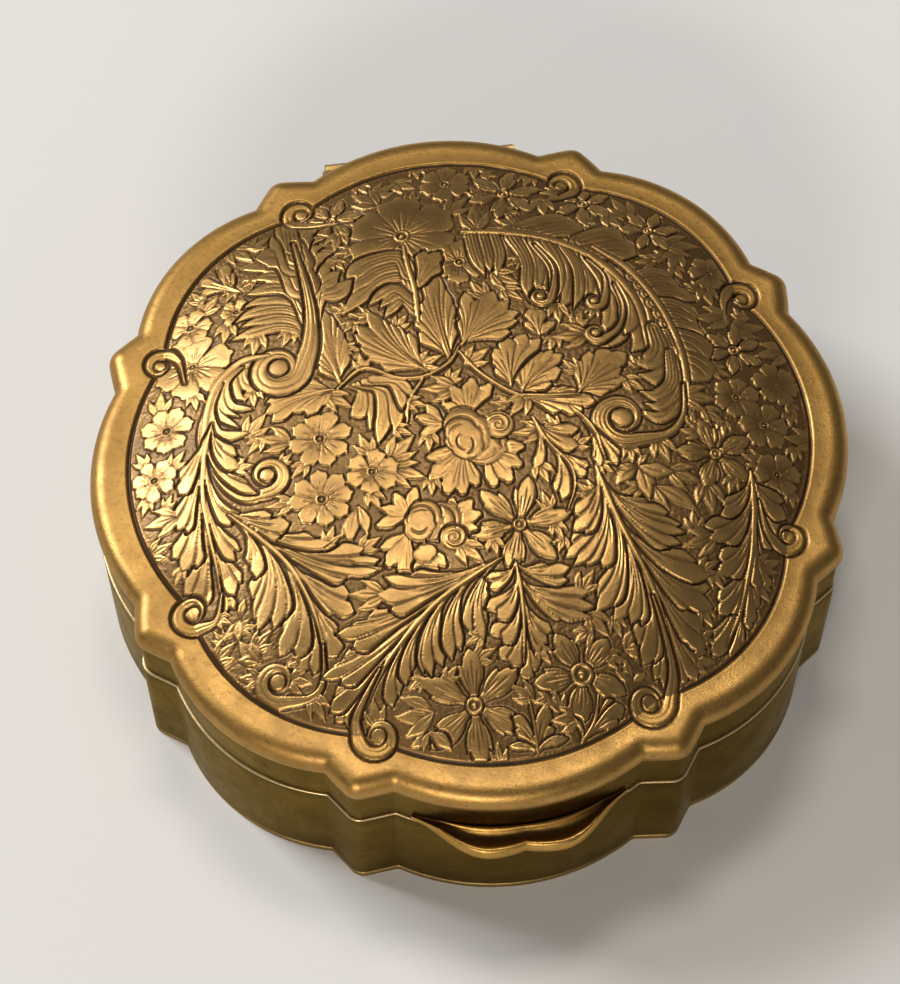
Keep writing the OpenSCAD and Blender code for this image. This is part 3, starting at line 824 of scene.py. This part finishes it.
leaf([(700, -190), (692, -290), (672, -390), (640, -490), (605, -575), (560, -650)],
     [(0.06, [(610, -285), (600, -315)]),
      (0.16, [(550, -345), (560, -380), (600, -390)]),
      (0.32, [(575, -430), (565, -470), (600, -480)]),
      (0.50, [(555, -535), (550, -570), (585, -570)]),
      (0.70, [(530, -635), (520, -670)]),
      (0.06, [(775, -270), (775, -315)]),
      (0.18, [(765, -355), (755, -395), (720, -400)]),
      (0.40, [(700, -500), (665, -505)]),
      (0.58, [(650, -560), (625, -610)]),
      (0.76, [(590, -655), (570, -680)])], 0.4, 1.05)
volute(772, -362, 52, -1, [(715, -345), (708, -270)], 0.32, 1.2, over=True)
volute(778, 355, 52, 1, [(722, 330), (715, 250)], 0.32, 1.2, over=True)
volute(-775, 355, 48, -1, [(-722, 340), (-715, 270)], 0.32, 1.2, over=True)
volute(-355, 775, 52, 1, [(-325, 715), (-260, 705)], 0.32, 1.2, over=True)
volute(355, 775, 52, -1, [(325, 715), (260, 705)], 0.32, 1.2, over=True)
leaf([(50, -870), (50, -810), (45, -740)],
     [(0.1, [(0, -815), (0, -785)]), (0.1, [(100, -820), (95, -775)]),
      (0.0, [(-20, -850)]), (0.0, [(130, -845)])], 0.25)
leaf([(160, -860), (200, -810), (220, -745)],
     [(0.1, [(150, -800)]), (0.2, [(260, -815), (280, -785)]), (0.4, [(255, -765)])], 0.25)


def free_room(x, y, reach, ring):
    """How far the nearest engraved shape or the border is, and in which direction."""
    i = int(round((y + FIELD) / CELL))
    j = int(round((x + FIELD) / CELL))
    if not inside_border[i, j] or covered[i, j]:
        return 0.0, 0.0
    low_i, low_j = max(i - reach, 0), max(j - reach, 0)
    cut = (slice(low_i, i + reach + 1), slice(low_j, j + reach + 1))
    taken = covered[cut] | ~inside_border[cut]
    part = ring[low_i - i + reach:low_i - i + reach + taken.shape[0],
                low_j - j + reach:low_j - j + reach + taken.shape[1]]
    if not taken.any():
        return 3.0, 0.0
    k = int(np.argmin(np.where(taken, part, 99.0)))
    ki, kj = np.unravel_index(k, taken.shape)
    return float(part[ki, kj]), math.atan2(low_i + ki - i, low_j + kj - j)


def fill_gaps():
    """Small leaves and flowers in what is left of the ground, each as large as fits there."""
    reach = 42
    near = np.arange(-reach, reach + 1)
    ring = np.hypot(near[None, :], near[:, None]) * CELL
    sized = []
    for gx in np.arange(-40, 40.1, 0.75):
        for gy in np.arange(-40, 40.1, 0.75):
            x, y = gx + chance.uniform(-0.3, 0.3), gy + chance.uniform(-0.3, 0.3)
            room, _ = free_room(x, y, reach, ring)
            if room > LEAST_ROOM:
                sized.append((room, x, y))
    for _, x, y in sorted(sized, reverse=True):
        room, way = free_room(x, y, reach, ring)
        place = np.array([x, y])
        if room > FLOWER_ROOM:
            flower(x / STEP, y / STEP, min(room + 0.2, 3.0) / STEP, 6, chance.uniform(0, 60),
                   chance.random() < 0.4, 0.22, under=True)
        elif room > LEAST_ROOM:
            size = min(2.4 * room + 0.7, 4.4)
            start = place + 0.55 * size * heading(way)
            for bend, share in ((0.5, 0.8), (-0.5, 0.8), (0.0, 1.0)):
                tip = start - share * size * heading(way + bend)
                leaflet(start, tip, 0.2, 0.25 * bend, under=True)


fill_gaps()

# The cuts' edges are softened, and the blades' tops flattened while the deep cuts stay
relief = np.minimum(blurred(relief, 0.04), 0)
relief = np.interp(relief, [-0.60, -0.26, -0.10, 0.0], [-0.60, -0.25, -0.065, 0.0])
# Shares that the material uses: in a narrow cut, standing proud, and deep or bare ground
hollow = np.clip((blurred(relief, 0.40) - relief - 0.01) / 0.13, 0, 1)
proud = np.clip((relief - blurred(relief, 0.7)) / 0.14, 0, 1)
bare = blurred((~covered & inside_border).astype(np.float32), 0.10)
deep = np.maximum(np.clip(-(relief + 0.26) / 0.14, 0, 1), 0.40 * np.clip(bare, 0, 1))


def sampled(values, x, y):
    """The field's values at points in millimetres."""
    u = np.clip((x + FIELD) / CELL, 0, COUNT - 1.001)
    v = np.clip((y + FIELD) / CELL, 0, COUNT - 1.001)
    i, j = v.astype(int), u.astype(int)
    fu, fv = u - j, v - i
    return ((values[i, j] * (1 - fu) + values[i, j + 1] * fu) * (1 - fv)
            + (values[i + 1, j] * (1 - fu) + values[i + 1, j + 1] * fu) * fv)


# ---------------------------------------------------------------- lid top
# The rolled rim from its shoulder round and under to the sheet's underside: inset from the
# outline, and height over the rim's widest line
RIM_ROLL = [(SHOULDER_INSET, BORDER_UP - SHOULDER_FALL), (1.9, 1.82), (1.6, 1.77), (1.3, 1.68),
            (1.0, 1.54), (0.75, 1.37), (0.5, 1.13), (0.3, 0.86), (0.15, 0.56), (0.05, 0.27), (0, 0),
            (0.02, -0.3), (0.08, -0.62), (0.19, -0.95), (0.33, -1.3), (0.45, -1.6),
            (BAND_INNER, -1.6), (1.6, -0.6), (2.4, 0.8)]


def lid_top_mesh():
    """The domed top: a fine square grid wrapped to the dome, then the rim's rings."""
    line = np.arange(-GRID_HALF, GRID_HALF + 1) / GRID_HALF
    gx, gy = np.meshgrid(line, line)
    size = np.maximum(np.abs(gx), np.abs(gy))
    safe_x = np.where(np.abs(gx) < 1e-9, 1e-9, gx)
    safe_y = np.where(np.abs(gy) < 1e-9, 1e-9, gy)
    flat_side = np.abs(gx) >= np.abs(gy)
    angle = np.where(flat_side, np.pi / 4 * gy / safe_x, np.pi / 2 - np.pi / 4 * gx / safe_y)
    angle = angle + np.where(np.where(flat_side, gx, gy) < 0, np.pi, 0)
    lobed = size ** LOBE_FADE
    radius = size * (lobed * border_radius(angle) + (1 - lobed) * (HALF_W - RIM_WIDE))
    x, y = radius * np.cos(angle), radius * np.sin(angle)
    z = BORDER_Z + DOME_UP * (1 - size ** DOME_POWER) + sampled(relief, x, y)
    grid = np.stack([x, y, z], -1)
    numbers = np.arange(grid.shape[0] * grid.shape[1]).reshape(grid.shape[:2])
    faces = [np.stack([numbers[:-1, :-1], numbers[:-1, 1:], numbers[1:, 1:], numbers[1:, :-1]],
                      -1).reshape(-1, 4)]
    edge = np.concatenate([numbers[0, :-1], numbers[:-1, -1], numbers[-1, :0:-1],
                           numbers[:0:-1, 0]])
    points = [grid.reshape(-1, 3)]
    edge_angle = angle.reshape(-1)[edge]
    start = border_radius(edge_angle)
    shoulder = outline_radius(SHOULDER_INSET, edge_angle)
    rings = []
    for share in np.linspace(0.04, 0.94, 24):
        dip = SHOULDER_FALL * math.sin(0.5 * math.pi * share) ** 0.8
        rings.append((start + share * (shoulder - start), BORDER_Z - dip))
    engraved_rings = len(rings)
    for inset, height in RIM_ROLL:
        rings.append((outline_radius(inset, edge_angle), RIM_Z + height))
    for s in (0.96, 0.85, 0.7, 0.52, 0.34, 0.18, 0.06):
        lobed = s ** LOBE_FADE
        under = s * (lobed * start + (1 - lobed) * (HALF_W - RIM_WIDE))
        rings.append((under, BORDER_Z + DOME_UP * (1 - s ** DOME_POWER) - TOP_T))
    last = edge
    base = len(points[0])
    for number, (radius, height) in enumerate(rings):
        rx, ry = radius * np.cos(edge_angle), radius * np.sin(edge_angle)
        rz = np.full(len(rx), height)
        if number < engraved_rings:
            rz += sampled(relief, rx, ry) * (radius < 41.5)
        points.append(np.stack([rx, ry, rz], 1))
        here = base + np.arange(len(edge))
        faces.append(quads_between(last, here)[:, ::-1])
        last = here
        base += len(edge)
    points.append(np.array([[0, 0, CROWN_Z - TOP_T]]))
    faces.append(np.stack([last, np.roll(last, -1), np.full(len(last), base)], 1)[:, ::-1])
    count = len(points[0])
    carved = count + engraved_rings * len(edge)
    points = np.concatenate(points)
    top = mesh_object("lid_top_engraved", points, faces)
    tones = np.zeros((len(points), 4), np.float32)
    tones[:, 1] = 1
    tones[:, 3] = 1
    x, y = points[:carved, 0], points[:carved, 1]
    outside = np.hypot(x, y) > border_radius(np.arctan2(y, x)) + 0.1
    tones[:carved, 0] = sampled(hollow, x, y)
    tones[:carved, 1] = np.where(outside, 1, sampled(proud, x, y))
    tones[:carved, 2] = np.where(outside, 0, sampled(deep, x, y))
    tones[:carved, 3] = outside
    colour = top.data.color_attributes.new("engraving", "FLOAT_COLOR", "POINT")
    colour.data.foreach_set("color", tones.ravel())
    return top


lid_top = lid_top_mesh()
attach(lid_top, "lid")
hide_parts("lid_top")

# ---------------------------------------------------------------- walls, band, collar, floor
wall = swept("base_wall_band", rounded([(WALL_INSET, FLOOR_T), (WALL_INSET, BASE_H),
                                        (COLLAR_INSET, BASE_H), (COLLAR_INSET, FLOOR_T)], 0.18))
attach(wall, "base")
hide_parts("base_wall")

band = swept("lid_band_strip", rounded([(BAND_INSET, BASE_H), (BAND_INSET, BAND_TOP),
                                        (BAND_INNER, BAND_TOP), (BAND_INNER, BASE_H)], 0.12))
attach(band, "lid")
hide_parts("lid_band")

collar = swept("base_collar_strip", rounded([(COLLAR_INSET, COLLAR_LOW), (COLLAR_INSET, COLLAR_TOP),
                                             (COLLAR_INSET + COLLAR_T, COLLAR_TOP),
                                             (COLLAR_INSET + COLLAR_T, COLLAR_LOW)], 0.3))
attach(collar, "base")
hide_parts("base_collar")


def floor_plate():
    """The floor plate, with a rounded lower edge."""
    section = [(0.45, 0.0), (0.3, 0.04), (0.22, 0.14), (WALL_INSET, 0.3), (WALL_INSET, FLOOR_T)]
    shares = np.array([0.97, 0.9, 0.8, 0.68, 0.55, 0.42, 0.3, 0.18, 0.08])
    rings = []
    for share in shares[::-1]:
        flat = outline(0.45, 6) * share
        rings.append(np.column_stack([flat, np.zeros(len(flat))]))
    for inset, height in section:
        flat = outline(inset, 6)
        rings.append(np.column_stack([flat, np.full(len(flat), height)]))
    for share in shares:
        flat = outline(WALL_INSET, 6) * share
        rings.append(np.column_stack([flat, np.full(len(flat), FLOOR_T)]))
    count = len(rings[0])
    numbers = np.arange(len(rings) * count).reshape(len(rings), count)
    points = np.concatenate(rings + [[[0, 0, 0], [0, 0, FLOOR_T]]])
    faces = [quads_between(numbers[k], numbers[k + 1]) for k in range(len(rings) - 1)]
    for one, other, hub in ((np.roll(numbers[0], -1), numbers[0], len(points) - 2),
                            (numbers[-1], np.roll(numbers[-1], -1), len(points) - 1)):
        faces.append(np.stack([one, other, np.full(count, hub)], 1))
    return mesh_object("base_floor_plate", points, faces)


plate = floor_plate()
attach(plate, "base")
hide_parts("base_floor")


# ---------------------------------------------------------------- thumb piece
THUMB_HALF = math.radians(16.6)
THUMB_OUT = 3.3
THUMB_NOTCH = 0.8
THUMB_PEAK = 0.32
NOTCH_POWER = 1.6
THUMB_LOW, THUMB_HIGH = node_heights("thumb_piece")


def thumb_swell(t):
    """How far the thumb piece stands out from the rim's widest line, from its middle to its end."""
    near = THUMB_OUT - THUMB_NOTCH * np.maximum(1 - t / THUMB_PEAK, 0) ** NOTCH_POWER
    far = THUMB_OUT * (1 + np.cos(np.pi * (t - THUMB_PEAK) / (1 - THUMB_PEAK))) / 2
    return np.where(t < THUMB_PEAK, near, far)


def thumb_mesh():
    """A bead along the band, a dark channel, and a rounded lip along the outer edge."""
    steps = 120
    t = np.linspace(-1, 1, 2 * steps + 1)
    angle = THUMB_HALF * t
    wall_reach = lobe_reach(WIDE_ARC_AT, WIDE_R, angle) - BAND_INSET - 0.05
    width = np.maximum(thumb_swell(np.abs(t)) + BAND_INSET + 0.05, 0.06)
    height = THUMB_HIGH - THUMB_LOW
    # Section from the band outward: share of the width, and height over the underside
    section = [(0.0, 0.42), (0.04, 0.60), (0.10, 0.70), (0.16, 0.66), (0.20, 0.54), (0.26, 0.42),
               (0.36, 0.34), (0.48, 0.34), (0.58, 0.42), (0.66, 0.60), (0.72, 0.80), (0.78, 0.94),
               (0.85, 1.0), (0.92, 0.95), (0.97, 0.80), (1.0, 0.55), (1.0, 0.30), (0.97, 0.12),
               (0.90, 0.0), (0.6, 0.0), (0.3, 0.0), (0.0, 0.0)]
    shrink = np.clip(width / 1.6, 0.35, 1)
    rows = []
    for share, up in section:
        r = wall_reach + share * width
        z = THUMB_LOW + height * (up * shrink + (1 - shrink) * 0.15 * (up > 0))
        rows.append(np.stack([r * np.sin(angle), -r * np.cos(angle), z], 1))
    count = len(t)
    numbers = np.arange(len(rows) * count).reshape(len(rows), count)
    faces = [quads_between(numbers[(k + 1) % len(rows)], numbers[k], False)
             for k in range(len(rows))]
    faces.append(numbers[:, 0][None, :])
    faces.append(numbers[::-1, -1][None, :])
    lip = mesh_object("thumb_piece_lip", np.concatenate(rows), faces)
    tones = np.zeros((len(rows), count, 4), np.float32)
    for k, (share, up) in enumerate(section):
        tones[k, :, 0] = max(0.0, 1 - abs(share - 0.42) / 0.24) * (up > 0.2)
    tones[:, :, 1] = 1
    tones[:, :, 3] = 1
    colour = lip.data.color_attributes.new("engraving", "FLOAT_COLOR", "POINT")
    colour.data.foreach_set("color", tones.ravel())
    return lip


thumb = thumb_mesh()
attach(thumb, "lid")
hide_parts("thumb_piece")


# ---------------------------------------------------------------- materials
def new_node(tree, kind, **settings):
    node = tree.nodes.new(kind)
    for name, value in settings.items():
        setattr(node, name, value)
    return node


def mixed(tree, factor, first, second):
    """A colour mix; each of the three is a socket or a value."""
    node = new_node(tree, "ShaderNodeMix", data_type="RGBA")
    for socket, value in ((node.inputs[0], factor), (node.inputs[6], first),
                          (node.inputs[7], second)):
        if isinstance(value, bpy.types.NodeSocket):
            tree.links.new(value, socket)
        elif isinstance(value, tuple):
            socket.default_value = (*value, 1)
        else:
            socket.default_value = value
    return node.outputs[2]


def maths(tree, operation, first, second=0.0, clamp=False):
    node = new_node(tree, "ShaderNodeMath", operation=operation, use_clamp=clamp)
    for socket, value in ((node.inputs[0], first), (node.inputs[1], second)):
        if isinstance(value, bpy.types.NodeSocket):
            tree.links.new(value, socket)
        else:
            socket.default_value = value
    return node.outputs[0]


def ranged(tree, value, low, high, new_low, new_high):
    node = new_node(tree, "ShaderNodeMapRange")
    tree.links.new(value, node.inputs[0])
    for k, number in enumerate((low, high, new_low, new_high)):
        node.inputs[k + 1].default_value = number
    return node.outputs[0]


def noise(tree, place, scale, detail=3.0, stretch=None, roughness=0.5):
    """Noise of the given scale per metre, stretched along some axes if asked."""
    if stretch:
        mapping = new_node(tree, "ShaderNodeMapping")
        mapping.inputs["Scale"].default_value = stretch
        tree.links.new(place, mapping.inputs["Vector"])
        place = mapping.outputs[0]
    node = new_node(tree, "ShaderNodeTexNoise")
    node.inputs["Scale"].default_value = scale
    node.inputs["Detail"].default_value = detail
    node.inputs["Roughness"].default_value = roughness
    tree.links.new(place, node.inputs["Vector"])
    return node.outputs["Fac"]


def bumped(tree, height, strength, distance, normal=None):
    node = new_node(tree, "ShaderNodeBump")
    node.inputs["Strength"].default_value = strength
    node.inputs["Distance"].default_value = distance
    tree.links.new(height, node.inputs["Height"])
    if normal:
        tree.links.new(normal, node.inputs["Normal"])
    return node.outputs[0]


def scratches(tree, place, scale, stretch, turn):
    """Thin straight scratches in one direction."""
    mapping = new_node(tree, "ShaderNodeMapping")
    mapping.inputs["Rotation"].default_value = (0, 0, math.radians(turn))
    tree.links.new(place, mapping.inputs["Vector"])
    value = noise(tree, mapping.outputs[0], scale, 2.0, stretch)
    return ranged(tree, value, 0.60, 0.68, 0.0, 1.0)


def aged_brass(name, bright, dull, dark, rough_low, rough_high, stain=0.5, toned=False, foot=False,
               coat=0.0):
    """Brass with mottled patina, specks, grain and scratches. Where it is toned, it follows the
    mesh's engraving tones. A foot darkens towards the lower edge and along the seam, partly dirt
    and partly painted shade, and gets a thin painted highlight, partly rubbed wear, on its edge
    just below the seam."""
    material = bpy.data.materials.new(name)
    material.use_nodes = True
    tree = material.node_tree
    shader = tree.nodes["Principled BSDF"]
    shader.inputs["Metallic"].default_value = 1.0
    shader.inputs["Specular Tint"].default_value = (0.92, 0.80, 0.56, 1)
    shader.inputs["Coat Weight"].default_value = coat
    shader.inputs["Coat Roughness"].default_value = 0.35
    place = new_node(tree, "ShaderNodeTexCoord").outputs["Object"]
    cloud = noise(tree, place, 70, 5, roughness=0.6)
    blot = noise(tree, place, 260, 4, roughness=0.65)
    grain = noise(tree, place, 3800, 2)
    fine = noise(tree, place, 1300, 3, roughness=0.7)
    dots = noise(tree, place, 2300, 2, roughness=0.5)
    marks = maths(tree, "MAXIMUM", scratches(tree, place, 420, (1, 14, 1), 24),
                  scratches(tree, place, 380, (13, 1, 1), -38))
    tone = maths(tree, "ADD", maths(tree, "MULTIPLY", cloud, 0.6),
                 maths(tree, "MULTIPLY", blot, 0.4))
    tone = ranged(tree, tone, 0.38, 0.62, 0.0, 1.0)
    colour = mixed(tree, tone, dull, bright)
    speckle = ranged(tree, fine, 0.55, 0.75, 0.0, stain)
    colour = mixed(tree, speckle, colour, dark)
    specks = ranged(tree, dots, 0.63, 0.70, 0.0, 0.7 * stain)
    colour = mixed(tree, specks, colour, dark)
    rough = ranged(tree, tone, 0, 1, rough_high, rough_low)
    if foot:
        split = new_node(tree, "ShaderNodeSeparateXYZ")
        tree.links.new(place, split.inputs[0])
        # Darker towards the lower edge and along the seam: partly dirt, partly painted shade
        low = ranged(tree, split.outputs[2], 0.0, 0.005, 0.8, 0.0)
        seam = maths(tree, "ABSOLUTE", maths(tree, "SUBTRACT", split.outputs[2], BASE_H * MM))
        seam = ranged(tree, seam, 0.0, 0.0022, 0.8, 0.0)
        patchy = ranged(tree, blot, 0.3, 0.6, 0.5, 1.0)
        grime_and_shade = maths(tree, "MULTIPLY", maths(tree, "MAXIMUM", low, seam), patchy)
        colour = mixed(tree, grime_and_shade, colour, dark)
        # A thin bright line on the wall's top edge just below the seam: painted highlight, partly
        # rubbed wear
        below = maths(tree, "SUBTRACT", BASE_H * MM, split.outputs[2])
        worn_edge_and_highlight = maths(tree, "MULTIPLY", ranged(tree, below, 0.00012, 0.00024, 0.9, 0.0),
                     maths(tree, "GREATER_THAN", below, -0.00001))
        colour = mixed(tree, worn_edge_and_highlight, colour, (0.78, 0.58, 0.30))
    if toned:
        tones = new_node(tree, "ShaderNodeAttribute", attribute_name="engraving")
        parts = new_node(tree, "ShaderNodeSeparateColor")
        tree.links.new(tones.outputs["Color"], parts.inputs[0])
        hollow_part, proud_part, deep_part = parts.outputs[0], parts.outputs[1], parts.outputs[2]
        rim_part = tones.outputs["Alpha"]
        old = mixed(tree, tone, (0.26, 0.142, 0.042), (0.40, 0.225, 0.072))
        old = mixed(tree, maths(tree, "MULTIPLY", proud_part, 0.8), old, (0.70, 0.425, 0.135))
        colour = mixed(tree, rim_part, old, colour)
        shade = maths(tree, "MAXIMUM", maths(tree, "MULTIPLY", hollow_part, 0.93),
                      maths(tree, "MULTIPLY", deep_part, 0.93))
        colour = mixed(tree, shade, colour, (0.018, 0.011, 0.006))
        rough = maths(tree, "ADD", rough, maths(tree, "MULTIPLY", shade, 0.3), True)
        rough = maths(tree, "ADD", rough, maths(tree, "MULTIPLY", rim_part, 0.05), True)
    rough = maths(tree, "ADD", rough, maths(tree, "MULTIPLY", marks, 0.05), True)
    tree.links.new(colour, shader.inputs["Base Color"])
    tree.links.new(rough, shader.inputs["Roughness"])
    normal = bumped(tree, grain, 0.40, 0.00005)
    normal = bumped(tree, marks, 0.12, 0.00004, normal)
    normal = bumped(tree, blot, 0.12, 0.0002, normal)
    tree.links.new(normal, shader.inputs["Normal"])
    return material


# Each brass: its bright, dull and dark colour, and its least and greatest roughness
engraved_brass = aged_brass("engraved_brass", (0.48, 0.275, 0.070), (0.34, 0.185, 0.042),
                            (0.10, 0.052, 0.018), 0.32, 0.45, 0.5, toned=True, coat=0.36)
# The walls and the band get a much darker brass than the lid: painted shade and a painted dark
# reflection on the same metal
wall_brass = aged_brass("wall_brass", (0.17, 0.105, 0.024), (0.10, 0.062, 0.016),
                        (0.028, 0.018, 0.007), 0.30, 0.46, foot=True)
base_brass = aged_brass("base_brass", (0.38, 0.26, 0.09), (0.25, 0.17, 0.07), (0.09, 0.06, 0.03),
                        0.38, 0.52)
collar_brass = aged_brass("collar_brass", (0.62, 0.42, 0.15), (0.50, 0.33, 0.12), (0.22, 0.14, 0.06),
                          0.24, 0.38, 0.3)
hinge_brass = aged_brass("hinge_brass", (0.50, 0.33, 0.11), (0.32, 0.21, 0.08), (0.10, 0.07, 0.03),
                         0.28, 0.44)
pin_brass = aged_brass("pin_brass", (0.60, 0.40, 0.14), (0.45, 0.29, 0.10), (0.16, 0.1, 0.04),
                       0.24, 0.36)
thumb_brass = aged_brass("thumb_brass", (0.62, 0.37, 0.10), (0.40, 0.235, 0.065),
                         (0.11, 0.065, 0.025), 0.27, 0.42, 0.5, toned=True)


def dress(thing, material):
    thing.data.materials.clear()
    thing.data.materials.append(material)


dress(lid_top, engraved_brass)
dress(wall, wall_brass)
dress(band, wall_brass)
dress(collar, collar_brass)
dress(plate, base_brass)
dress(thumb, thumb_brass)
for node_name in ("base_hinge_gutter", "lid_hinge_gutter", "base_knuckle_left", "base_knuckle_middle",
                  "base_knuckle_right", "lid_knuckle_left", "lid_knuckle_right"):
    dress(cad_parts[node_name], hinge_brass)
dress(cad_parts["hinge_pin"], pin_brass)

# ---------------------------------------------------------------- floor, light and camera
FLOOR_HALF = 12000.0
floor = mesh_object("studio_floor", [(-FLOOR_HALF, -FLOOR_HALF, 0), (FLOOR_HALF, -FLOOR_HALF, 0),
                                     (FLOOR_HALF, FLOOR_HALF, 0), (-FLOOR_HALF, FLOOR_HALF, 0)],
                    [np.array([[0, 1, 2, 3]])])
floor_material = bpy.data.materials.new("studio_floor")
floor_material.use_nodes = True
floor_shader = floor_material.node_tree.nodes["Principled BSDF"]
floor_shader.inputs["Base Color"].default_value = (0.72, 0.71, 0.69, 1)
floor_shader.inputs["Roughness"].default_value = 0.9
dress(floor, floor_material)

world = bpy.data.worlds.new("studio")
world.use_nodes = True
world.node_tree.nodes["Background"].inputs["Color"].default_value = (0.86, 0.87, 0.90, 1)
world.node_tree.nodes["Background"].inputs["Strength"].default_value = 0.15
bpy.context.scene.world = world


def softbox(name, place, target, width, height, power, colour):
    lamp = bpy.data.lights.new(name, "AREA")
    lamp.shape = "RECTANGLE"
    lamp.size = width
    lamp.size_y = height
    lamp.energy = power
    lamp.color = colour
    thing = bpy.data.objects.new(name, lamp)
    bpy.context.scene.collection.objects.link(thing)
    thing.location = place
    away = Vector(place) - Vector(target)
    thing.rotation_euler = away.to_track_quat("Z", "Y").to_euler()


softbox("key_light", (-1.455, 1.14, 1.455), (0, 0, 0.02), 0.90, 0.90, 46.0, (0.97, 0.98, 1.0))
softbox("top_light", (0.0, 0.435, 1.35), (0, 0, 0.02), 0.36, 0.24, 4.8, (1.0, 0.92, 0.80))
softbox("front_light", (-0.47, -1.40, 0.82), (0, 0, 0.02), 0.585, 0.273, 12.0, (1.0, 0.92, 0.80))

# The camera fitted to the photo's outline; lengths in spans
ELEVATION = math.radians(62.059)
AZIMUTH = math.radians(-7.168)
ROLL = math.radians(-0.4698)
AIM_X = -0.0658
AIM_Y = -0.0955
CAMERA_AWAY = 7.9609
SENSOR = 36
LENS = 112.35
back = Vector((math.sin(AZIMUTH) * math.cos(ELEVATION), -math.cos(AZIMUTH) * math.cos(ELEVATION),
               math.sin(ELEVATION)))
right = Vector((math.cos(AZIMUTH), math.sin(AZIMUTH), 0))
up = back.cross(right)
rolled_right = right * math.cos(ROLL) + up * math.sin(ROLL)
rolled_up = up * math.cos(ROLL) - right * math.sin(ROLL)
aim = Vector((AIM_X * SPAN, AIM_Y * SPAN, RIM_Z)) * MM
camera_data = bpy.data.cameras.new("camera")
camera_data.sensor_width = SENSOR
camera_data.lens = LENS
camera = bpy.data.objects.new("camera", camera_data)
bpy.context.scene.collection.objects.link(camera)
turn = Matrix((rolled_right, rolled_up, back)).transposed().to_4x4()
camera.matrix_world = Matrix.Translation(aim + back * CAMERA_AWAY * SPAN * MM) @ turn
bpy.context.scene.camera = camera
bpy.context.scene.view_settings.view_transform = "Standard"
